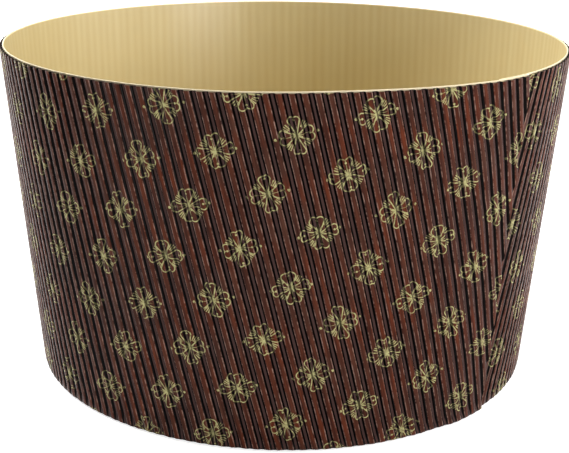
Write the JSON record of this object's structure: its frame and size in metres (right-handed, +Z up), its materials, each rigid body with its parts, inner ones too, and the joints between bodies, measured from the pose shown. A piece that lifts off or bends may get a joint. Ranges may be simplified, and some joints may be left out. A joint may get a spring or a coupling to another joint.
{
  "type": "panettone mold",
  "caption": "Round tapered baking mold of corrugated paper board, open at the top, with a lapped side seam, leaning flutes outside, a smooth liner inside and a flat vented base.",
  "frame": {"origin": "centre of the footprint, on the surface the mold stands on", "axes": "+Z up along the axis of the tapered wall, -Y towards the front, +X to the right"},
  "size_m": [0.17, 0.17, 0.099],
  "materials": {
    "printed_fluting": "matte brown printed baking paper with a gold ornament",
    "tan_liner": "smooth tan greaseproof liner paper"
  },
  "bodies": {
    "root": {"wall": "printed_fluting", "base": "tan_liner"}
  },
  "joints": []
}
